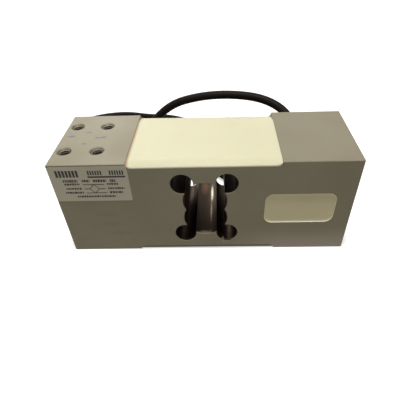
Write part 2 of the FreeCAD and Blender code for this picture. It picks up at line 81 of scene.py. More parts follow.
# ---- cable ----
# Black PVC-jacketed instrument cable, 6.5 mm across. It leaves the bush at the
# back, arches over behind the block, lies on the table at the left, and its
# spare length is wound into a tied coil close behind the block.
CABLE_DIAMETER = 6.5 * MM
CABLE_ROUTE = [
    (68.0, 40.0, 32.5), (68.0, 60.0, 34.0), (62.5, 80.0, 42.0), (45.0, 92.5, 48.0),
    (19.0, 97.0, 50.0), (-7.0, 98.0, 48.5), (-32.0, 98.0, 42.0), (-52.0, 94.0, 24.0),
    (-71.0, 88.0, 9.0), (-93.0, 84.0, 3.25), (-114.0, 91.5, 3.25), (-127.0, 108.5, 3.25),
    (-130.5, 129.0, 3.25), (-126.0, 150.0, 3.25), (-109.0, 160.5, 3.25),
    (-85.0, 164.0, 3.25), (-62.0, 156.5, 3.25), (-39.0, 154.5, 3.25),
    (-19.0, 142.5, 3.25), (-3.0, 120.5, 3.25), (1.0, 99.0, 3.7), (1.0, 80.0, 4.25),
]
TAIL_ROUTE = [
    (84.0, 80.0, 10.75), (84.0, 98.0, 8.5), (77.5, 115.0, 5.0), (64.5, 128.0, 3.75),
    (48.0, 135.0, 3.75),
]
COIL_CENTRE = (42.5, 76.5)
COIL_RADIUS = 41.5
COIL_LAYERS = (4.25, 10.75)
COIL_TURNS = 5.5
POINTS_PER_TURN = 16
STEP_TURN = 1 / 6
STEPS_IN = (1 - STEP_TURN, 2 - STEP_TURN)
STEP_UP = 3 - 2 * STEP_TURN
STEPS_OUT = (3.5, 4.5)
CABLE_SMOOTHNESS = 6
CABLE_ORDER = 3
JACKET_COLOUR = (0.010, 0.008, 0.007)
JACKET_OTHER_COLOUR = (0.013, 0.010, 0.008)


def eased(value, start, span):
    """0 before start, 1 after start + span, and smooth between."""
    t = min(max((value - start) / span, 0), 1)
    return t * t * (3 - 2 * t)


def coil_radius(turn):
    """Distance from the coil's middle: two steps in on the lower layer, two out above."""
    inward = sum(eased(turn, start, STEP_TURN) for start in STEPS_IN)
    outward = sum(eased(turn, start, STEP_TURN) for start in STEPS_OUT)
    return COIL_RADIUS + CABLE_DIAMETER / MM * (outward - inward)


def coil_height(turn):
    """The lower layer, then the upper one after two and two thirds turns."""
    low, high = COIL_LAYERS
    return low + (high - low) * eased(turn, STEP_UP, STEP_TURN)


def coil_points():
    """Corners of a many-sided polygon round the turns, which the spline touches inside."""
    points = []
    half_step = math.pi / POINTS_PER_TURN
    for index in range(int(COIL_TURNS * POINTS_PER_TURN)):
        turn = (index + 0.5) / POINTS_PER_TURN
        angle = math.pi + 2 * math.pi * turn
        radius = coil_radius(turn) / math.cos(half_step)
        points.append((COIL_CENTRE[0] + radius * math.cos(angle),
                       COIL_CENTRE[1] + radius * math.sin(angle), coil_height(turn)))
    return points


def cable_curve(name, points, diameter):
    """A round cable along one smooth NURBS line; points are in millimetres."""
    curve = bpy.data.curves.new(name, "CURVE")
    curve.dimensions = "3D"
    curve.bevel_depth = diameter / 2
    curve.bevel_resolution = CABLE_SMOOTHNESS
    curve.resolution_u = CABLE_SMOOTHNESS
    curve.use_fill_caps = True
    spline = curve.splines.new("NURBS")
    spline.points.add(len(points) - 1)
    for point, place in zip(spline.points, points):
        point.co = (*(Vector(place) * MM), 1)
    spline.order_u = CABLE_ORDER
    spline.use_endpoint_u = True
    obj = bpy.data.objects.new(name, curve)
    bpy.context.scene.collection.objects.link(obj)
    return obj


def effect_group(name, inputs, outputs):
    """An empty shader node group with the given sockets: (label, type, value)."""
    group = bpy.data.node_groups.new(name, "ShaderNodeTree")
    for label, kind, value in inputs:
        socket = group.interface.new_socket(label, in_out="INPUT", socket_type=kind)
        if value is not None:
            socket.default_value = value
    for label, kind in outputs:
        group.interface.new_socket(label, in_out="OUTPUT", socket_type=kind)
    return group, group.nodes.new("NodeGroupInput"), group.nodes.new("NodeGroupOutput")


def maths(tree, operation, first, second=None):
    """A Math node; its operands are sockets or numbers."""
    node = tree.nodes.new("ShaderNodeMath")
    node.operation = operation
    for socket, operand in zip(node.inputs, (first, second)):
        if isinstance(operand, (int, float)):
            socket.default_value = operand
        elif operand is not None:
            tree.links.new(operand, socket)
    return node.outputs["Value"]


def blended(tree, factor, first, second):
    """A colour or number mixed by factor; operands are sockets, numbers or RGB colours.

    The Mix node repeats its sockets' names for each type, so they are taken by their place.
    """
    node = tree.nodes.new("ShaderNodeMix")
    colours = isinstance(second, tuple) or getattr(second, "type", "") == "RGBA"
    node.data_type = "RGBA" if colours else "FLOAT"
    below, above, result = (6, 7, 2) if colours else (2, 3, 0)
    for socket, operand in zip((node.inputs[0], node.inputs[below], node.inputs[above]),
                               (factor, first, second)):
        if isinstance(operand, (int, float)):
            socket.default_value = operand
        elif isinstance(operand, tuple):
            socket.default_value = (*operand, 1)
        else:
            tree.links.new(operand, socket)
    return node.outputs[result]


def ramped(tree, value, low, high):
    """0 at low, 1 at high, smooth between; low may be the larger."""
    node = tree.nodes.new("ShaderNodeMapRange")
    node.interpolation_type = "SMOOTHSTEP"
    tree.links.new(value, node.inputs["Value"])
    node.inputs["From Min"].default_value = low
    node.inputs["From Max"].default_value = high
    return node.outputs["Result"]


def grain_group():
    """Fine grain and broad mottling, as two values of a place."""
    group, enter, leave = effect_group(
        "grain",
        [("Position", "NodeSocketVector", None), ("Grain Scale", "NodeSocketFloat", 2000.0),
         ("Mottle Scale", "NodeSocketFloat", 60.0)],
        [("Mottle", "NodeSocketFloat"), ("Grain", "NodeSocketFloat")])
    for label, detail, output in (("Grain Scale", 2.0, "Grain"), ("Mottle Scale", 4.0, "Mottle")):
        noise = group.nodes.new("ShaderNodeTexNoise")
        noise.inputs["Detail"].default_value = detail
        group.links.new(enter.outputs["Position"], noise.inputs["Vector"])
        group.links.new(enter.outputs[label], noise.inputs["Scale"])
        group.links.new(noise.outputs["Fac"], leave.inputs[output])
    return group


def smudge_group():
    """A soft ellipsoid spot with a ragged rim: 1 inside, 0 outside."""
    group, enter, leave = effect_group(
        "smudge",
        [("Position", "NodeSocketVector", None), ("Centre", "NodeSocketVector", None),
         ("Reach", "NodeSocketVector", (MM, MM, MM)), ("Ragged", "NodeSocketFloat", 0.3),
         ("Softness", "NodeSocketFloat", 0.5), ("Scale", "NodeSocketFloat", 900.0)],
        [("Mask", "NodeSocketFloat")])
    offset = group.nodes.new("ShaderNodeVectorMath")
    offset.operation = "SUBTRACT"
    share = group.nodes.new("ShaderNodeVectorMath")
    share.operation = "DIVIDE"
    length = group.nodes.new("ShaderNodeVectorMath")
    length.operation = "LENGTH"
    noise = group.nodes.new("ShaderNodeTexNoise")
    group.links.new(enter.outputs["Position"], offset.inputs[0])
    group.links.new(enter.outputs["Centre"], offset.inputs[1])
    group.links.new(offset.outputs["Vector"], share.inputs[0])
    group.links.new(enter.outputs["Reach"], share.inputs[1])
    group.links.new(share.outputs["Vector"], length.inputs[0])
    group.links.new(enter.outputs["Position"], noise.inputs["Vector"])
    group.links.new(enter.outputs["Scale"], noise.inputs["Scale"])
    ragged = maths(group, "MULTIPLY", enter.outputs["Ragged"],
                   maths(group, "SUBTRACT", noise.outputs["Fac"], 0.5))
    away = maths(group, "ADD", length.outputs["Value"], maths(group, "MULTIPLY", ragged, 4.0))
    inner = maths(group, "SUBTRACT", 1.0, enter.outputs["Softness"])
    spot = group.nodes.new("ShaderNodeMapRange")
    spot.interpolation_type = "SMOOTHSTEP"
    group.links.new(away, spot.inputs["Value"])
    group.links.new(inner, spot.inputs["From Min"])
    spot.inputs["From Max"].default_value = 1.0
    spot.inputs["To Min"].default_value = 1.0
    spot.inputs["To Max"].default_value = 0.0
    group.links.new(spot.outputs["Result"], leave.inputs["Mask"])
    return group


GRAIN = grain_group()
SMUDGE = smudge_group()


class Finish:
    """A Principled material built up in coats: mottled base first, then masks over it."""

    OTHER_SHADE = 0.86
    MOTTLE_RANGE = (0.3, 0.7)

    def __init__(self, name, colour, roughness, metallic=0.0, other=None, mottle_scale=60.0,
                 grain_scale=2000.0, bump=0.00002, rough_swing=0.15):
        self.material = bpy.data.materials.new(name)
        self.material.use_nodes = True
        self.tree = self.material.node_tree
        self.shader = self.tree.nodes["Principled BSDF"]
        self.shader.inputs["Metallic"].default_value = metallic
        self.place = self.tree.nodes.new("ShaderNodeTexCoord").outputs["Object"]
        grain = self.tree.nodes.new("ShaderNodeGroup")
        grain.node_tree = GRAIN
        grain.inputs["Grain Scale"].default_value = grain_scale
        grain.inputs["Mottle Scale"].default_value = mottle_scale
        self.tree.links.new(self.place, grain.inputs["Position"])
        self.mottle = grain.outputs["Mottle"]
        other = other or tuple(share * self.OTHER_SHADE for share in colour)
        mottled = self.ramped(self.mottle, *self.MOTTLE_RANGE)
        self.set("Base Color", blended(self.tree, mottled, colour, other))
        swing = self.maths("MULTIPLY", self.mottle, rough_swing)
        self.set("Roughness", self.maths("ADD", swing, roughness - rough_swing / 2))
        relief = self.tree.nodes.new("ShaderNodeBump")
        relief.inputs["Distance"].default_value = bump
        self.tree.links.new(grain.outputs["Grain"], relief.inputs["Height"])
        self.set("Normal", relief.outputs["Normal"])

    def set(self, socket_name, value):
        """Links a value to the shader."""
        self.tree.links.new(value, self.shader.inputs[socket_name])

    def over(self, socket_name, mask, value):
        """Lays a colour or number over what the shader has, where the mask is 1."""
        socket = self.shader.inputs[socket_name]
        below = socket.links[0].from_socket if socket.is_linked else socket.default_value
        self.set(socket_name, blended(self.tree, mask, below, value))

    def maths(self, operation, first, second=None):
        """A Math node in this material."""
        return maths(self.tree, operation, first, second)

    def ramped(self, value, low, high):
        """A smooth step in this material, 0 at low and 1 at high."""
        return ramped(self.tree, value, low, high)

    def axes(self):
        """The X, Y and Z sockets of the place."""
        split = self.tree.nodes.new("ShaderNodeSeparateXYZ")
        self.tree.links.new(self.place, split.inputs["Vector"])
        return [split.outputs[axis] for axis in "XYZ"]

    def near(self, coordinate, place, reach):
        """1 where the coordinate is at place, falling to 0 at reach from it."""
        away = self.maths("ABSOLUTE", self.maths("SUBTRACT", coordinate, place))
        return self.ramped(away, reach, 0.0)

    def between(self, coordinate, low, high, soft):
        """1 between low and high, falling to 0 over soft beyond them."""
        above = self.ramped(coordinate, low - soft, low)
        return self.maths("MULTIPLY", above, self.ramped(coordinate, high + soft, high))

    def smudge(self, centre, reach, strength=1.0, ragged=0.3, softness=0.5, scale=900.0):
        """A ragged spot's mask; centre and reach are in millimetres."""
        spot = self.tree.nodes.new("ShaderNodeGroup")
        spot.node_tree = SMUDGE
        self.tree.links.new(self.place, spot.inputs["Position"])
        spot.inputs["Centre"].default_value = Vector(centre) * MM
        spot.inputs["Reach"].default_value = Vector(reach) * MM
        spot.inputs["Ragged"].default_value = ragged
        spot.inputs["Softness"].default_value = softness
        spot.inputs["Scale"].default_value = scale
        return self.maths("MULTIPLY", spot.outputs["Mask"], strength)

    def wear(self, *names):
        """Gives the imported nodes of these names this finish."""
        for name in names:
            nodes[name].data.materials.clear()
            nodes[name].data.materials.append(self.material)


jacket = Finish("cable_jacket", JACKET_COLOUR, 0.45, other=JACKET_OTHER_COLOUR,
                mottle_scale=35.0, grain_scale=1500.0, bump=0.000003)
jacket.shader.inputs["Specular IOR Level"].default_value = 0.06
jacket.wear("cable_in_block")

signal_cable = cable_curve("signal_cable", CABLE_ROUTE + coil_points() + TAIL_ROUTE,
                           CABLE_DIAMETER)
signal_cable.data.materials.append(jacket.material)
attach(signal_cable, "root")
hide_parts("cable", "cable_coil", "cable_tail")


# ---- spring element ----
# One block of aluminium, milled all over, bored and sawn through for the
# spring, then blasted and anodised to a warm satin grey. The bores are painted
# dark brown as painted shade, with painted reflections, highlights and a lit
# strip, and pen marks are left on the load end.
BLOCK_LOW, BLOCK_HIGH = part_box("spring_element")
BLOCK_COLOUR = (0.272, 0.242, 0.162)
BLOCK_OTHER_COLOUR = (0.245, 0.214, 0.140)
CRISP = 0.1 * MM

# Edges rubbed bright.
EDGE_COLOUR = (0.45, 0.42, 0.33)
EDGE_REACH = 0.6 * MM
EDGE_MOTTLE = (0.4, 0.8)

# Pen marks: middle, reach, strength and ink.
PEN_BLUE = (0.13, 0.11, 0.19)
PEN_GREY = (0.14, 0.12, 0.12)
PEN_MARKS = (
    ((-81.0, 2.5, 65.0), (3.6, 1.6, 1.0), 0.95, PEN_BLUE),
    ((-64.5, 0.3, 65.0), (3.2, 1.3, 1.0), 0.80, PEN_GREY),
    ((-61.0, 0.9, 65.0), (2.6, 1.7, 1.0), 0.95, PEN_BLUE),
    ((-71.5, 7.5, 65.0), (3.0, 1.2, 1.0), 0.75, PEN_GREY),
    ((-71.0, -6.5, 65.0), (2.0, 1.4, 1.0), 0.80, PEN_GREY),
)

# Faint stains below the label: middle and reach.
STAIN_COLOUR = (0.235, 0.195, 0.150)
STAIN_STRENGTH = 0.75
FRONT_STAINS = (
    ((-60.0, -30.0, 30.0), (8.0, 1.0, 2.2)),
    ((-59.0, -30.0, 22.5), (8.5, 1.0, 2.4)),
    ((-53.5, -30.0, 14.5), (10.5, 1.0, 2.4)),
)

# The front is painted paler along its foot, as painted light bounced up from the
# table, and it is darker along its top edge on the load end.
FRONT_REACH = 0.3 * MM
FOOT_LIGHT_COLOUR = (0.39, 0.34, 0.265)
FOOT_HEIGHTS = (20 * MM, 2 * MM)
FOOT_ENDS = (5 * MM, 50 * MM)
LOAD_EDGE_DARK_COLOUR = (0.15, 0.13, 0.085)
LOAD_EDGE_DARK_DROP = 0.6 * MM
LOAD_EDGE_DARK_REACH = 0.9 * MM
LOAD_EDGE_DARK_ENDS = (-42.5 * MM, -43.5 * MM)
LOAD_EDGE_DARK_STRENGTH = 0.8

# Painted shade in the bores, with painted reflections, highlights and a lit
# strip over it: middle, reach, strength and colour.
BORE_SHADE_COLOUR = (0.048, 0.030, 0.0185)
BORE_METALLIC = 0.95
BORE_ROUGHNESS = 0.42
BORE_REACH = 21.5 * MM
BORE_FACE_GAP = 0.3 * MM
BORE_HEIGHTS = (6 * MM, 59 * MM)
BORE_PAINTED_LIGHTS = (
    ((3.4, 12.0, 14.0), (1.2, 12.0, 1.6), 0.95, (0.55, 0.52, 0.40)),
    ((3.0, -8.0, 14.0), (0.9, 16.0, 1.6), 0.60, (0.30, 0.27, 0.20)),
    ((-2.0, 20.0, 13.5), (3.6, 12.0, 1.8), 0.80, (0.17, 0.095, 0.060)),
    ((-9.0, 23.0, 16.0), (2.0, 7.0, 6.0), 0.60, (0.24, 0.22, 0.17)),
    ((-0.5, -29.6, 13.5), (6.5, 3.4, 1.6), 0.80, (0.40, 0.36, 0.28)),
)

# The tapped holes, painted dark inside as painted shade.
HOLE_PATTERN = next(mount for mount in frame["record"]["mounts"]
                    if mount["name"] == "load_end_holes")
HOLE_MIDDLE_X = abs(HOLE_PATTERN["pos_m"][0])
HOLE_HALF_SPACING = (HOLE_PATTERN["dims"]["spacing_x_mm"] * MM / 2,
                     HOLE_PATTERN["dims"]["spacing_y_mm"] * MM / 2)
HOLE_SHADE_COLOUR = (0.034, 0.027, 0.020)
HOLE_MOUTH = 3.9 * MM
HOLE_RIM = 0.2 * MM
HOLE_FACE_GAP = 0.4 * MM

block = Finish("block_aluminium", BLOCK_COLOUR, 0.5, metallic=0.15, other=BLOCK_OTHER_COLOUR,
               mottle_scale=22.0, grain_scale=2600.0, bump=0.00003)
along, across, height = block.axes()

edges = []
for coordinate, low, high in zip((along, across, height), BLOCK_LOW, BLOCK_HIGH):
    edges.append(block.maths("MAXIMUM", block.near(coordinate, low, EDGE_REACH),
                             block.near(coordinate, high, EDGE_REACH)))
edge = block.maths("MULTIPLY", edges[0], edges[1])
for first, second in ((1, 2), (0, 2)):
    edge = block.maths("MAXIMUM", edge, block.maths("MULTIPLY", edges[first], edges[second]))
worn = block.maths("MULTIPLY", edge, block.ramped(block.mottle, *EDGE_MOTTLE))
block.over("Base Color", worn, EDGE_COLOUR)

for centre, reach, strength, pen in PEN_MARKS:
    mark = block.smudge(centre, reach, strength, ragged=0.2, softness=0.7)
    block.over("Base Color", mark, pen)
for centre, reach in FRONT_STAINS:
    stain = block.smudge(centre, reach, STAIN_STRENGTH, ragged=0.6, softness=0.8, scale=700.0)
    block.over("Base Color", stain, STAIN_COLOUR)

front = block.near(across, BLOCK_LOW[1], FRONT_REACH)
# Painted light: the front is paler along its foot.
foot_light = block.maths("MULTIPLY", block.ramped(height, *FOOT_HEIGHTS),
                   block.ramped(along, *FOOT_ENDS))
block.over("Base Color", block.maths("MULTIPLY", front, foot_light), FOOT_LIGHT_COLOUR)
# Darker along the front's top edge on the load end.
load_edge_dark = block.maths("MULTIPLY", block.near(height, BLOCK_HIGH[2] - LOAD_EDGE_DARK_DROP, LOAD_EDGE_DARK_REACH),
                    front)
load_edge_dark = block.maths("MULTIPLY", load_edge_dark, block.ramped(along, *LOAD_EDGE_DARK_ENDS))
block.over("Base Color", block.maths("MULTIPLY", load_edge_dark, LOAD_EDGE_DARK_STRENGTH), LOAD_EDGE_DARK_COLOUR)

inside = block.maths("MULTIPLY",
                     block.between(along, -BORE_REACH, BORE_REACH, CRISP),
                     block.between(across, BLOCK_LOW[1] + BORE_FACE_GAP,
                                   BLOCK_HIGH[1] - BORE_FACE_GAP, CRISP))
inside = block.maths("MULTIPLY", inside, block.between(height, *BORE_HEIGHTS, CRISP))
# Painted shade: the bores are painted dark brown.
block.over("Base Color", inside, BORE_SHADE_COLOUR)
block.over("Metallic", inside, BORE_METALLIC)
block.over("Roughness", inside, BORE_ROUGHNESS)
# Painted reflections, highlights and a lit strip over the bores' painted shade.
for centre, reach, strength, colour in BORE_PAINTED_LIGHTS:
    mark = block.smudge(centre, reach, strength, ragged=0.16, softness=0.75, scale=400.0)
    block.over("Base Color", block.maths("MULTIPLY", inside, mark), colour)

# Painted shade inside the tapped holes.
from_end = block.maths("SUBTRACT", block.maths("ABSOLUTE", along), HOLE_MIDDLE_X)
squares = []
for coordinate, spacing in zip((from_end, across), HOLE_HALF_SPACING):
    aside = block.maths("SUBTRACT", block.maths("ABSOLUTE", coordinate), spacing)
    squares.append(block.maths("MULTIPLY", aside, aside))
from_axis = block.maths("SQRT", block.maths("ADD", *squares))
hole_shade = block.maths("MULTIPLY", block.ramped(from_axis, HOLE_MOUTH, HOLE_MOUTH - HOLE_RIM),
                   block.between(height, HOLE_FACE_GAP, BLOCK_HIGH[2] - HOLE_FACE_GAP, CRISP))
block.over("Base Color", hole_shade, HOLE_SHADE_COLOUR)
block.wear("spring_element")


# ---- threads ----
# The eight tapped holes' M8 threads: one ridge that winds down each bore, cut
# in the block's own metal.
THREAD_PITCH = 1.25 * MM
THREAD_ROOT = 3.42 * MM
THREAD_CREST = 3.05 * MM
# Half widths as shares of the pitch.
THREAD_FLANK = 0.4
THREAD_FLAT = 0.08
THREAD_PROFILE = ((THREAD_ROOT, -THREAD_FLANK), (THREAD_CREST, -THREAD_FLAT),
                  (THREAD_CREST, THREAD_FLAT), (THREAD_ROOT, THREAD_FLANK))
THREAD_TURNS = 12
THREAD_STEPS = 20
THREAD_START = 1.0 * MM
# The ridges are painted dark as painted shade, and paler near the mouths as painted light.
THREAD_SHADE_COLOUR = (0.060, 0.050, 0.035)
THREAD_LIT_COLOUR = (0.34, 0.31, 0.23)
THREAD_LIT_DEPTH = 2.6 * MM


def finished_piece(name, shape, finish, sharp_angle=None):
    """The shape as an object at the origin in one finish; smooth up to a sharp angle."""
    for face in shape.faces:
        face.smooth = sharp_angle is not None
    mesh = bpy.data.meshes.new(name)
    shape.to_mesh(mesh)
    shape.free()
    mesh.materials.append(finish.material)
    if sharp_angle is not None:
        mesh.set_sharp_from_angle(angle=sharp_angle)
    piece = bpy.data.objects.new(name, mesh)
    bpy.context.scene.collection.objects.link(piece)
    return piece


thread_finish = Finish("thread_metal", THREAD_SHADE_COLOUR, 0.35, metallic=0.3, bump=0.00001)
height = thread_finish.axes()[2]
# Painted light on the ridges near the holes' mouths.
lit_at_mouth = thread_finish.maths(
    "MAXIMUM", thread_finish.near(height, BLOCK_HIGH[2] - THREAD_START, THREAD_LIT_DEPTH),
    thread_finish.near(height, BLOCK_LOW[2] + THREAD_START, THREAD_LIT_DEPTH))
thread_finish.over("Base Color", lit_at_mouth, THREAD_LIT_COLOUR)
shape = bmesh.new()
for end, face, inward in ((-1, BLOCK_HIGH[2], -1), (1, BLOCK_LOW[2], 1)):
    for side_x in (-1, 1):
        for side_y in (-1, 1):
            axis_place = Vector((end * HOLE_MIDDLE_X + side_x * HOLE_HALF_SPACING[0],
                                 side_y * HOLE_HALF_SPACING[1], face + inward * THREAD_START))
            profile = [shape.verts.new(axis_place + Vector((reach, 0, step * THREAD_PITCH)))
                       for reach, step in THREAD_PROFILE]
            ends = [shape.edges.new(pair) for pair in zip(profile, profile[1:] + profile[:1])]
            bmesh.ops.spin(shape, geom=profile + ends, cent=axis_place, axis=(0, 0, 1),
                           dvec=(0, 0, inward * THREAD_PITCH / THREAD_STEPS),
                           angle=2 * math.pi * THREAD_TURNS, steps=THREAD_TURNS * THREAD_STEPS)
bmesh.ops.holes_fill(shape, edges=[edge for edge in shape.edges if edge.is_boundary])
bmesh.ops.recalc_face_normals(shape, faces=shape.faces)
threads = finished_piece("tapped_threads", shape, thread_finish)
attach(threads, "root")


# ---- potting ----
# Two-part silicone cast over the gauges in both recesses and over the board in
# the side pocket. It shrinks a little and thins towards its open edges, most of
# all at the back, and it is browner along the load end's wall.
SILICONE_LOW, SILICONE_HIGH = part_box("top_potting")
RECESS_COLOUR = (0.80, 0.765, 0.54)
RECESS_OTHER_COLOUR = (0.77, 0.735, 0.515)
SILICONE_GLOW_DEPTH = 2.0 * MM
WALL_BROWN_COLOUR = (0.42, 0.27, 0.17)
WALL_BROWN_REACH = 2.0 * MM
WALL_BROWN_MOTTLE = (0.1, 0.45)
FLOOR_ROUND = 2.4 * MM
EDGE_ROUND = 0.5 * MM
SILICONE_CUTS = 1.5 * MM
# How the top sinks: each slope is its run and its fall, and the walls hold it up.
SILICONE_SINK = 0.05 * MM
FRONT_SLOPE = (5.5 * MM, 1.9 * MM)
BACK_SLOPE = (15.0 * MM, 1.9 * MM)
BACK_SLOPE_MORE = 0.5 * MM
WALL_HOLD = 0.8
WALL_REACH = 3.0 * MM
WAVE_HEIGHT = 0.05 * MM
WAVE_RUNS = (7 * MM, 5 * MM)
# Painted shade: the silicone in the lower recess is painted dark.
UNDERSIDE_SHADE_COLOUR = (0.15, 0.118, 0.055)

POCKET_LOW, POCKET_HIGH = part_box("pocket_potting")
POCKET_COLOUR = (0.93, 0.84, 0.545)
POCKET_OTHER_COLOUR = (0.88, 0.79, 0.505)
# Painted highlights: a pale lip along the pocket's lower rim and a speck at its lower right.
POCKET_HIGHLIGHT_COLOUR = (1.0, 0.94, 0.74)
POCKET_LIT_LIP = 1.8 * MM
POCKET_HIGHLIGHT_SPECK = ((74.5, -30.0, 28.0), (1.2, 1.5, 0.9))
POCKET_CORNER = 5.0 * MM
POCKET_CREEP = 0.05 * MM
# Steps in from the pocket's rim: width and depth.
MENISCUS = ((0.20 * MM, 0.28 * MM), (0.30 * MM, 0.16 * MM), (0.50 * MM, 0.08 * MM),
            (0.90 * MM, 0.03 * MM))

recess = Finish("recess_silicone", RECESS_COLOUR, 0.5, other=RECESS_OTHER_COLOUR,
                mottle_scale=18.0, grain_scale=500.0, bump=0.00004)
recess.shader.inputs["Specular IOR Level"].default_value = 0.25
recess.shader.inputs["Subsurface Weight"].default_value = 0.3
recess.shader.inputs["Subsurface Scale"].default_value = SILICONE_GLOW_DEPTH
recess.shader.inputs["Subsurface Radius"].default_value = (1.0, 0.7, 0.35)
along = recess.axes()[0]
# Browner along the load end's wall.
browned = recess.maths("MULTIPLY", recess.near(along, SILICONE_LOW[0], WALL_BROWN_REACH),
                       recess.ramped(recess.mottle, *WALL_BROWN_MOTTLE))
recess.over("Base Color", browned, WALL_BROWN_COLOUR)

size = SILICONE_HIGH - SILICONE_LOW
middle = (SILICONE_HIGH + SILICONE_LOW) / 2
shape = bmesh.new()
bmesh.ops.create_cube(shape, size=1,
                      matrix=Matrix.Translation(middle) @ Matrix.Diagonal((*size, 1)))
floor_ends = [edge for edge in shape.edges
              if all(vert.co.z < middle.z for vert in edge.verts)
              and abs(edge.verts[0].co.x - edge.verts[1].co.x) < CRISP]
bmesh.ops.bevel(shape, geom=floor_ends, offset=FLOOR_ROUND, segments=6, profile=0.5,
                affect="EDGES", material=-1)
top_edges = [edge for edge in shape.edges
             if all(vert.co.z > SILICONE_HIGH[2] - CRISP for vert in edge.verts)
             and abs(edge.verts[0].co.y - edge.verts[1].co.y) < CRISP]
bmesh.ops.bevel(shape, geom=top_edges, offset=EDGE_ROUND, segments=4, profile=0.5,
                affect="EDGES", material=-1)
for axis, low, high in ((0, SILICONE_LOW[0], SILICONE_HIGH[0]),
                        (1, SILICONE_LOW[1], SILICONE_HIGH[1])):
    cuts = int((high - low) / SILICONE_CUTS)
    for index in range(1, cuts):
        place = Vector()
        place[axis] = low + (high - low) * index / cuts
        normal = Vector()
        normal[axis] = 1
        bmesh.ops.bisect_plane(shape, geom=shape.verts[:] + shape.edges[:] + shape.faces[:],
                               plane_co=place, plane_no=normal)
for vert in shape.verts:
    share = max(vert.co.z - SILICONE_LOW[2], 0) / size.z
    to_front = max(1 - (vert.co.y - SILICONE_LOW[1]) / FRONT_SLOPE[0], 0)
    to_back = max(1 - (SILICONE_HIGH[1] - vert.co.y) / BACK_SLOPE[0], 0)
    more = BACK_SLOPE_MORE * eased(vert.co.x, SILICONE_LOW[0], size.x / 2)
    wave = (WAVE_HEIGHT * math.sin(vert.co.x / WAVE_RUNS[0])
            * math.sin(vert.co.y / WAVE_RUNS[1] + 1))
    from_wall = min(vert.co.x - SILICONE_LOW[0], SILICONE_HIGH[0] - vert.co.x)
    held = 1 - WALL_HOLD * max(1 - from_wall / WALL_REACH, 0) ** 2
    fall = FRONT_SLOPE[1] * held * to_front ** 2 + (BACK_SLOPE[1] + more) * to_back ** 2
    vert.co.z -= share * (fall + wave + SILICONE_SINK)
silicone = finished_piece("cast_silicone", shape, recess, sharp_angle=math.radians(50))
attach(silicone, "root")
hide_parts("top_potting")

# The lower recess's silicone, painted dark as painted shade.
underside_shade = Finish("recess_silicone_shaded", UNDERSIDE_SHADE_COLOUR, 0.55, mottle_scale=40.0,
                   grain_scale=500.0, bump=0.00004)
underside_shade.wear("bottom_potting")

pocket = Finish("pocket_silicone", POCKET_COLOUR, 0.40, other=POCKET_OTHER_COLOUR,
                mottle_scale=30.0, grain_scale=500.0, bump=0.00004)
# Painted highlights on the pocket silicone: a speck, then the lower lip.
highlight_speck = pocket.smudge(*POCKET_HIGHLIGHT_SPECK, ragged=0.2, softness=0.4)
pocket.over("Base Color", highlight_speck, POCKET_HIGHLIGHT_COLOUR)
lit_lip = pocket.near(pocket.axes()[2], POCKET_LOW[2], POCKET_LIT_LIP)
pocket.over("Base Color", lit_lip, POCKET_HIGHLIGHT_COLOUR)

size = POCKET_HIGH - POCKET_LOW
middle = (POCKET_HIGH + POCKET_LOW) / 2
middle.y = POCKET_HIGH[1]
shape = bmesh.new()
bmesh.ops.create_grid(shape, x_segments=1, y_segments=1, size=0.5,
                      matrix=Matrix.Translation(middle) @ Matrix.Rotation(math.pi / 2, 4, "X")
                      @ Matrix.Diagonal((size.x, size.z, 1, 1)))
bmesh.ops.bevel(shape, geom=shape.verts[:], offset=POCKET_CORNER, segments=8, profile=0.5,
                affect="VERTICES", material=-1)
shape.faces.ensure_lookup_table()
front = shape.faces[0]
if front.normal.y > 0:
    front.normal_flip()
body = bmesh.ops.extrude_face_region(shape, geom=[front], use_keep_orig=True)
front = next(item for item in body["geom"] if isinstance(item, bmesh.types.BMFace))
bmesh.ops.translate(shape, verts=front.verts[:],
                    vec=(0, BLOCK_LOW[1] + POCKET_CREEP - POCKET_HIGH[1], 0))
for width, sink in MENISCUS:
    bmesh.ops.inset_region(shape, faces=[front], thickness=width)
    bmesh.ops.translate(shape, verts=front.verts[:], vec=(0, sink, 0))
bmesh.ops.recalc_face_normals(shape, faces=shape.faces[:])
pocket_cast = finished_piece("pocket_silicone", shape, pocket, sharp_angle=math.radians(60))
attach(pocket_cast, "root")
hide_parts("pocket_potting")


# ---- type label ----
# Thin brushed foil, stuck on the label side. Its print is plain bars and dashes
# and a bare bridge symbol, in dark ink.
LABEL_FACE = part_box("type_label")[0].y
LABEL_COLOUR = (0.58, 0.54, 0.415)
INK_COLOUR = (0.035, 0.030, 0.030)
INK_PROUD = 0.02 * MM
INK_SUNK = 0.05 * MM
INK_SEED = 7
DASH_LENGTHS = (0.6, 1.4)
DASH_GAPS = (0.22, 0.38)
DASH_WEIGHTS = (0.75, 1.0)
SHORTEST_DASH = 0.3
# The print's places are millimetres from the block's lower left corner. A row of
# bars is its ends, its foot and top, and each bar's width and gap. A row of
# dashes is its ends, middle height and width, and a line is its ends and width.
HEADING_BARS = ((4.2, 18.8, 57.2, 61.6, 1.4, 0.5), (22.4, 31.0, 58.5, 61.4, 0.9, 0.5),
                (34.6, 42.6, 58.5, 61.4, 0.9, 0.5))
UNDERLINE = ((22.0, 57.3), (43.2, 57.3), 1.1)
DASH_ROWS = ((7.2, 15.5, 54.7, 2.0), (18.0, 22.4, 54.7, 2.0), (24.4, 32.0, 54.7, 2.0),
             (34.0, 37.2, 54.7, 2.0), (7.6, 16.8, 52.5, 1.45), (31.8, 38.2, 52.5, 1.45),
             (8.0, 17.0, 49.5, 1.45), (32.0, 41.4, 49.5, 1.45), (6.8, 18.0, 46.7, 1.45),
             (32.4, 40.0, 46.7, 1.45), (13.0, 35.4, 43.9, 1.45))
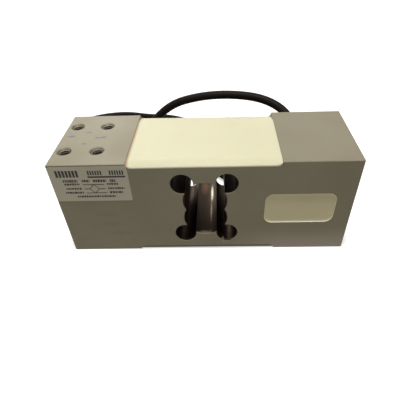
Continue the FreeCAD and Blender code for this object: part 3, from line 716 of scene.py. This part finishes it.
WIRE_LINES = (((18.0, 52.2), (30.4, 52.2), 0.5), ((18.4, 49.3), (21.4, 49.3), 0.5),
              ((27.0, 49.3), (30.6, 49.3), 0.5), ((18.8, 46.4), (30.8, 46.4), 0.5))
DIAMOND_MIDDLE = (24.2, 49.3)
DIAMOND_HALF = (2.7, 3.0)
DIAMOND_LINE = 0.4

label = Finish("label_foil", LABEL_COLOUR, 0.45, metallic=0.15, mottle_scale=15.0, bump=0.00001)
label.wear("type_label")
ink = Finish("label_ink", INK_COLOUR, 0.6, bump=0.000005)


def ink_line(shape, start, end, width):
    """One printed line; start and end are (x, z) from the block's lower left corner."""
    first = Vector((BLOCK_LOW[0] + start[0] * MM, 0, start[1] * MM))
    last = Vector((BLOCK_LOW[0] + end[0] * MM, 0, end[1] * MM))
    span = last - first
    depth = INK_PROUD + INK_SUNK
    middle = (first + last) / 2
    middle.y = LABEL_FACE - INK_PROUD + depth / 2
    turn = Matrix.Rotation(-math.atan2(span.z, span.x), 4, "Y")
    size = Matrix.Diagonal((span.length, depth, width * MM, 1))
    bmesh.ops.create_cube(shape, size=1, matrix=Matrix.Translation(middle) @ turn @ size)


def ink_dashes(shape, draw, low, high, row, width):
    """A row of small print, as dashes of uneven length."""
    place = low
    while place < high - SHORTEST_DASH:
        dash = min(draw.uniform(*DASH_LENGTHS), high - place)
        ink_line(shape, (place, row), (place + dash, row), width * draw.uniform(*DASH_WEIGHTS))
        place += dash + draw.uniform(*DASH_GAPS)


shape = bmesh.new()
draw = random.Random(INK_SEED)
for low, high, bottom, top, bar, gap in HEADING_BARS:
    place = low
    row = (bottom + top) / 2
    while place + bar <= high:
        ink_line(shape, (place, row), (place + bar, row), top - bottom)
        place += bar + gap
ink_line(shape, *UNDERLINE)
for low, high, row, width in DASH_ROWS:
    ink_dashes(shape, draw, low, high, row, width)
for line in WIRE_LINES:
    ink_line(shape, *line)
corners = [(DIAMOND_MIDDLE[0] + DIAMOND_HALF[0] * math.cos(quarter * math.pi / 2),
            DIAMOND_MIDDLE[1] + DIAMOND_HALF[1] * math.sin(quarter * math.pi / 2))
           for quarter in range(5)]
for start, end in zip(corners, corners[1:]):
    ink_line(shape, start, end, DIAMOND_LINE)
label_print = finished_piece("label_print", shape, ink)
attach(label_print, "root")


# ---- bush, ties, sleeve and leads ----
# A rubber bush where the cable leaves the block, two nylon ties round the coil,
# a heat-shrunk sleeve, and beyond it the four cores, stripped and tinned at
# their tips, and the twisted shield.
CORE_COLOURS = {"red": (0.52, 0.02, 0.015), "black": (0.02, 0.02, 0.02),
                "green": (0.02, 0.26, 0.06), "white": (0.78, 0.77, 0.72)}
BRAID_COLOUR = (0.55, 0.54, 0.50)
BRAID_SHADE = 0.45
BRAID_PITCH = 1.6 * MM
RUBBER_COLOUR = (0.022, 0.021, 0.020)
NYLON_COLOUR = (0.70, 0.67, 0.58)
SLEEVE_COLOUR = (0.016, 0.016, 0.017)
TINNED_COLOUR = (0.66, 0.63, 0.58)
CORE_DIAMETER = 1.3 * MM
CORE_RING = 1.45
LEAD_LENGTHS = {"red": 40.0, "black": 37.0, "green": 42.0, "white": 39.0, "shield": 35.0}
LEAD_ROWS = {"black": 0, "green": 1, "red": 2, "white": 3, "shield": 4}
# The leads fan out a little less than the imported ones, and so stay behind the block.
LEAD_FAN = 5.4
LEAD_START = 2.0
LEAD_MOUTH = 13.3
LEAD_BEND_SHARE = 0.62
LEAD_BEND_FAN = 0.45
BARE_TIP = 5.0
TIP_RADIUS_SHARE = 0.6

Finish("bush_rubber", RUBBER_COLOUR, 0.7).wear("cable_bush")
Finish("tie_nylon", NYLON_COLOUR, 0.4).wear("coil_tie_front", "coil_tie_back")
Finish("shrink_sleeve", SLEEVE_COLOUR, 0.6).wear("end_sleeve")
tinned = Finish("tinned_copper", TINNED_COLOUR, 0.3, metallic=1.0)
braid = Finish("shield_braid", BRAID_COLOUR, 0.35, metallic=1.0)
lay_angle = braid.maths("MULTIPLY", braid.maths("ADD", *braid.axes()[:2]),
                        2 * math.pi / BRAID_PITCH)
strands = braid.ramped(braid.maths("SINE", lay_angle), -1.0, 1.0)
braid.over("Base Color", strands, tuple(share * BRAID_SHADE for share in BRAID_COLOUR))
insulations = {"shield": braid}
for colour_name, colour in CORE_COLOURS.items():
    insulations[colour_name] = Finish("insulation_" + colour_name, colour, 0.35)
    insulations[colour_name].wear("core_" + colour_name)

free_end = Vector(TAIL_ROUTE[-1])
heading = (free_end - Vector(TAIL_ROUTE[-2])).normalized()
sideways = Vector((0, 0, 1)).cross(heading)
core_radius = CORE_DIAMETER / MM / 2
for index, (name, length) in enumerate(LEAD_LENGTHS.items()):
    angle = 2 * math.pi * index / len(LEAD_LENGTHS) + math.pi / 2
    aside = CORE_RING * math.cos(angle)
    rise = CORE_RING * math.sin(angle)
    spread = (LEAD_ROWS[name] - (len(LEAD_LENGTHS) - 1) / 2) * LEAD_FAN
    drop = core_radius - free_end.z
    points = [free_end + heading * along + sideways * across + Vector((0, 0, height))
              for along, across, height in (
                  (LEAD_START, aside, rise), (LEAD_MOUTH, aside, rise),
                  (length * LEAD_BEND_SHARE, spread * LEAD_BEND_FAN, drop),
                  (length, spread, drop))]
    tip = points[-1]
    if name != "shield":
        points[-1] = tip + (points[-2] - tip).normalized() * BARE_TIP
    lead = cable_curve("free_lead_" + name, points, CORE_DIAMETER)
    lead.data.materials.append(insulations[name].material)
    if name != "shield":
        lead.data.materials.append(tinned.material)
        bare = lead.data.splines.new("POLY")
        bare.points.add(1)
        for point, place in zip(bare.points, (points[-1], tip)):
            point.co = (*(place * MM), 1)
            point.radius = TIP_RADIUS_SHARE
        bare.material_index = 1
    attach(lead, "root")
    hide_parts("lead_" + name)

Vector(CABLE_ROUTE[0]) * MM


# ---- gauges, terminals, wires and board ----
# The bridge inside: foil gauges bonded over the hinges, terminal strips, fine
# wires, and the compensation board with its trim resistors.
INNER_FINISHES = {
    "gauge_film": ((0.42, 0.20, 0.04), 0.35, 0.0,
                   ["top_gauge_load_end", "top_gauge_fixed_end",
                    "bottom_gauge_load_end", "bottom_gauge_fixed_end"]),
    "terminal_copper": ((0.72, 0.40, 0.22), 0.35, 1.0,
                        ["top_terminal_strip", "bottom_terminal_strip"]),
    "bare_copper": ((0.75, 0.43, 0.26), 0.3, 1.0, ["top_gauge_leads", "bottom_gauge_leads"]),
    "wire_enamel": ((0.42, 0.10, 0.03), 0.3, 0.0, ["top_bridge_wires", "bottom_bridge_wires"]),
    "board_laminate": ((0.02, 0.16, 0.05), 0.3, 0.0, ["compensation_board"]),
    "resistor_lacquer": ((0.55, 0.42, 0.24), 0.3, 0.0, ["trim_resistors"]),
}
for finish_name, (colour, roughness, metallic, members) in INNER_FINISHES.items():
    Finish(finish_name, colour, roughness, metallic).wear(*members)


# ---- floor and light ----
# A plain white table under one soft lamp overhead, tipped a little to the
# front, a second lamp far behind at the left for the sheen in the bores, and a
# dim even surround.
FLOOR_HALF = 3.0
FLOOR_SEEN = (0.92, 0.92, 0.92)
FLOOR_BOUNCE = (0.44, 0.42, 0.38)
NEAR_GLOW = 0.6
FAR_GLOW = 1.1
GLOW_DISTANCES = (0.3, 1.5)
SURROUND = 0.12
SURROUND_COLOUR = (1.0, 0.99, 0.97)
LAMP_HEIGHT = 0.9
LAMP_TIP = math.radians(5)
LAMP_SIZE = 0.16
LAMP_POWER = 6.1
LAMP_COLOUR = (1.0, 0.985, 0.95)
SHEEN_PLACE = (-0.38, 0.95, 0.55)
SHEEN_SIZE = 0.35
SHEEN_POWER = 1.7
SHEEN_COLOUR = (1.0, 1.0, 0.96)


def ray_switch(tree):
    """1 for what the camera, gloss and glass see, 0 for spread light; and the path's node."""
    path = tree.nodes.new("ShaderNodeLightPath")
    seen = maths(tree, "MAXIMUM", path.outputs["Is Camera Ray"], path.outputs["Is Glossy Ray"])
    return maths(tree, "MAXIMUM", seen, path.outputs["Is Transmission Ray"]), path


floor_mesh = bpy.data.meshes.new("table")
shape = bmesh.new()
bmesh.ops.create_grid(shape, x_segments=1, y_segments=1, size=FLOOR_HALF)
shape.to_mesh(floor_mesh)
shape.free()
floor = bpy.data.objects.new("table", floor_mesh)
bpy.context.scene.collection.objects.link(floor)
floor_finish = bpy.data.materials.new("table_white")
floor_finish.use_nodes = True
tree = floor_finish.node_tree
floor_shader = tree.nodes["Principled BSDF"]
seen, path = ray_switch(tree)
tree.links.new(blended(tree, seen, FLOOR_BOUNCE, FLOOR_SEEN),
               floor_shader.inputs["Base Color"])
floor_shader.inputs["Roughness"].default_value = 0.9
floor_shader.inputs["Specular IOR Level"].default_value = 0.0
floor_shader.inputs["Emission Color"].default_value = (1, 1, 1, 1)
place = tree.nodes.new("ShaderNodeTexCoord")
span = tree.nodes.new("ShaderNodeVectorMath")
span.operation = "LENGTH"
tree.links.new(place.outputs["Object"], span.inputs[0])
distant = ramped(tree, span.outputs["Value"], *GLOW_DISTANCES)
glow = maths(tree, "ADD", maths(tree, "MULTIPLY", distant, FAR_GLOW - NEAR_GLOW), NEAR_GLOW)
tree.links.new(maths(tree, "MULTIPLY", path.outputs["Is Camera Ray"], glow),
               floor_shader.inputs["Emission Strength"])
floor_mesh.materials.append(floor_finish)

world = bpy.data.worlds.new("surround")
bpy.context.scene.world = world
world.use_nodes = True
tree = world.node_tree
background = tree.nodes["Background"]
background.inputs["Color"].default_value = (*SURROUND_COLOUR, 1)
seen, _ = ray_switch(tree)
tree.links.new(maths(tree, "ADD", maths(tree, "MULTIPLY", seen, 1 - SURROUND), SURROUND),
               background.inputs["Strength"])


def round_lamp(name, place, size, power, colour):
    """A soft round lamp that shines on the part."""
    data = bpy.data.lights.new(name, "AREA")
    data.shape = "DISK"
    data.size = size
    data.energy = power
    data.color = colour
    lamp = bpy.data.objects.new(name, data)
    lamp.location = place
    lamp.rotation_euler = Vector(place).to_track_quat("Z", "Y").to_euler()
    bpy.context.scene.collection.objects.link(lamp)


lamp_place = (0, -LAMP_HEIGHT * math.tan(LAMP_TIP), LAMP_HEIGHT)
round_lamp("overhead_lamp", lamp_place, LAMP_SIZE, LAMP_POWER, LAMP_COLOUR)
round_lamp("window_sheen", SHEEN_PLACE, SHEEN_SIZE, SHEEN_POWER, SHEEN_COLOUR)
